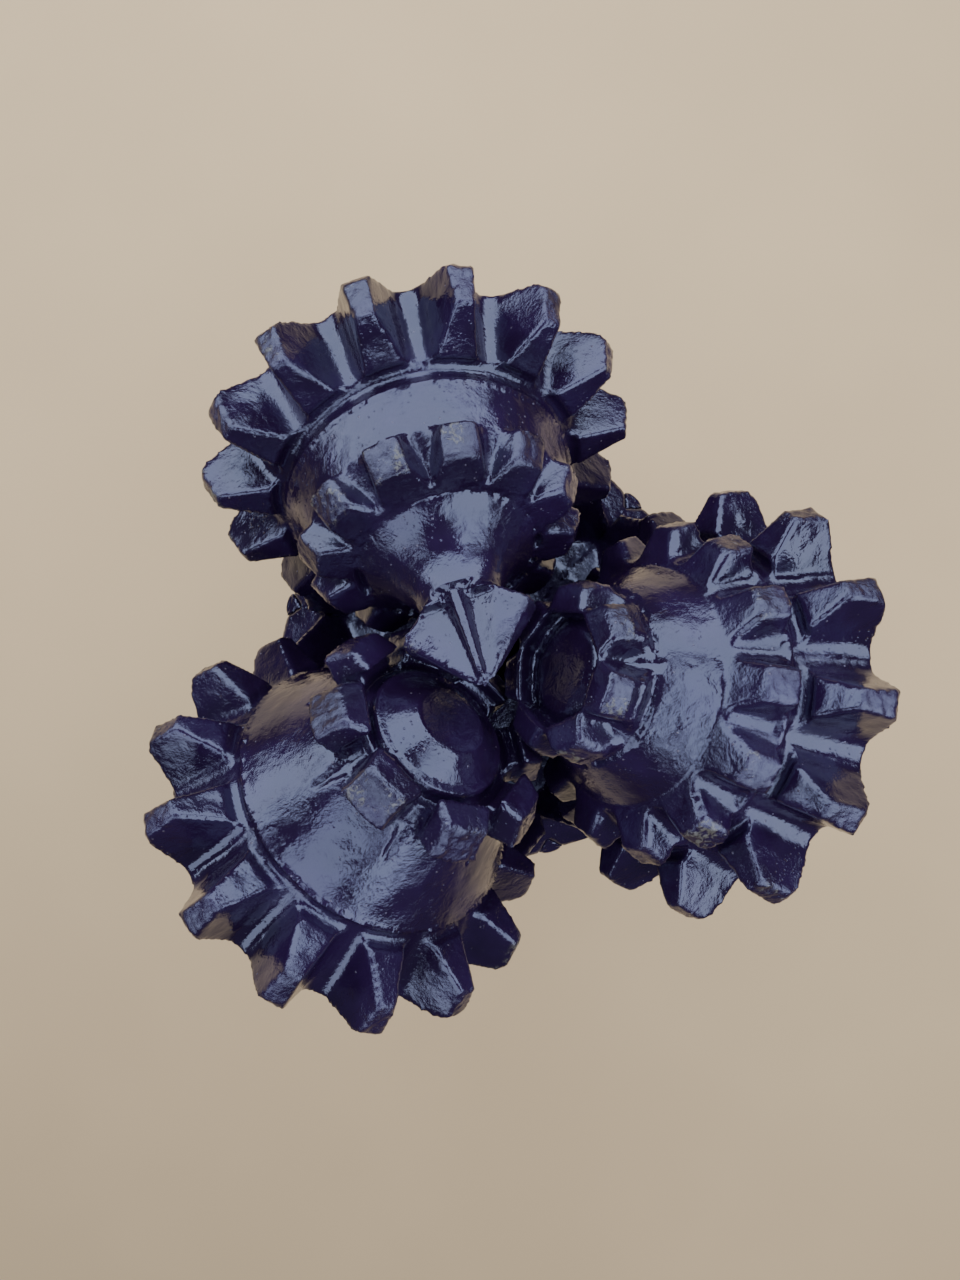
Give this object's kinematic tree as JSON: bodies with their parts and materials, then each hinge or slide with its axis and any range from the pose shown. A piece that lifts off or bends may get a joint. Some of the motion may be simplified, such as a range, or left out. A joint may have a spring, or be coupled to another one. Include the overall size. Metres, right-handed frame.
{
  "type": "tricone drill bit",
  "caption": "Rotary rock bit: three toothed cones that turn on angled journals of a welded three-leg body, above a tapered threaded pin.",
  "frame": {"origin": "centre of the make-up shoulder face, on the bit axis", "axes": "+Z along the bit axis from the pin to the cutting end; +Y toward leg 1; the pin points to -Z"},
  "size_m": [0.1514, 0.1456, 0.2296],
  "materials": {
    "gloss_paint": "thick gloss paint, dark indigo, over forged and milled steel",
    "bright_steel": "ground bearing steel",
    "bearing_bronze": "machined bronze",
    "seal_rubber": "moulded nitrile rubber"
  },
  "bodies": {
    "bit_body": {"leg_1": "gloss_paint", "leg_2": "gloss_paint", "leg_3": "gloss_paint", "weld_seam_1": "gloss_paint", "weld_seam_2": "gloss_paint", "weld_seam_3": "gloss_paint", "ball_plug_1": "gloss_paint", "ball_plug_2": "gloss_paint", "ball_plug_3": "gloss_paint", "reservoir_cap_1": "gloss_paint", "reservoir_cap_2": "gloss_paint", "reservoir_cap_3": "gloss_paint", "snap_ring_1": "bright_steel", "snap_ring_2": "bright_steel", "snap_ring_3": "bright_steel", "diaphragm_1": "seal_rubber", "diaphragm_2": "seal_rubber", "diaphragm_3": "seal_rubber"},
    "turning_cone_1": {"cone_1": "gloss_paint", "journal_bushing_1": "bearing_bronze", "pilot_bushing_1": "bearing_bronze", "thrust_disc_1": "bright_steel", "seal_ring_1": "seal_rubber"},
    "ball_ring_1": {"ball_set_1": "bright_steel"},
    "turning_cone_2": {"cone_2": "gloss_paint", "journal_bushing_2": "bearing_bronze", "pilot_bushing_2": "bearing_bronze", "thrust_disc_2": "bright_steel", "seal_ring_2": "seal_rubber"},
    "ball_ring_2": {"ball_set_2": "bright_steel"},
    "turning_cone_3": {"cone_3": "gloss_paint", "journal_bushing_3": "bearing_bronze", "pilot_bushing_3": "bearing_bronze", "thrust_disc_3": "bright_steel", "seal_ring_3": "seal_rubber"},
    "ball_ring_3": {"ball_set_3": "bright_steel"}
  },
  "joints": [
    {"name": "cone_1_turn", "type": "hinge", "parent": "bit_body", "child": "turning_cone_1", "pos_m": [-0.002, 0, 0.125], "axis": [0, 0.8192, -0.5736], "continuous": true},
    {"name": "ball_ring_1_orbit", "type": "hinge", "parent": "bit_body", "child": "ball_ring_1", "pos_m": [-0.002, 0, 0.125], "axis": [0, 0.8192, -0.5736], "continuous": true},
    {"name": "cone_2_turn", "type": "hinge", "parent": "bit_body", "child": "turning_cone_2", "pos_m": [0.001, -0.00173, 0.125], "axis": [-0.7094, -0.4096, -0.5736], "continuous": true},
    {"name": "ball_ring_2_orbit", "type": "hinge", "parent": "bit_body", "child": "ball_ring_2", "pos_m": [0.001, -0.00173, 0.125], "axis": [-0.7094, -0.4096, -0.5736], "continuous": true},
    {"name": "cone_3_turn", "type": "hinge", "parent": "bit_body", "child": "turning_cone_3", "pos_m": [0.001, 0.00173, 0.125], "axis": [0.7094, -0.4096, -0.5736], "continuous": true},
    {"name": "ball_ring_3_orbit", "type": "hinge", "parent": "bit_body", "child": "ball_ring_3", "pos_m": [0.001, 0.00173, 0.125], "axis": [0.7094, -0.4096, -0.5736], "continuous": true}
  ],
  "couplings": [
    {"joint": "ball_ring_1_orbit", "follows": "cone_1_turn", "ratio": 0.69844},
    {"joint": "ball_ring_2_orbit", "follows": "cone_2_turn", "ratio": 0.69844},
    {"joint": "ball_ring_3_orbit", "follows": "cone_3_turn", "ratio": 0.69844}
  ]
}
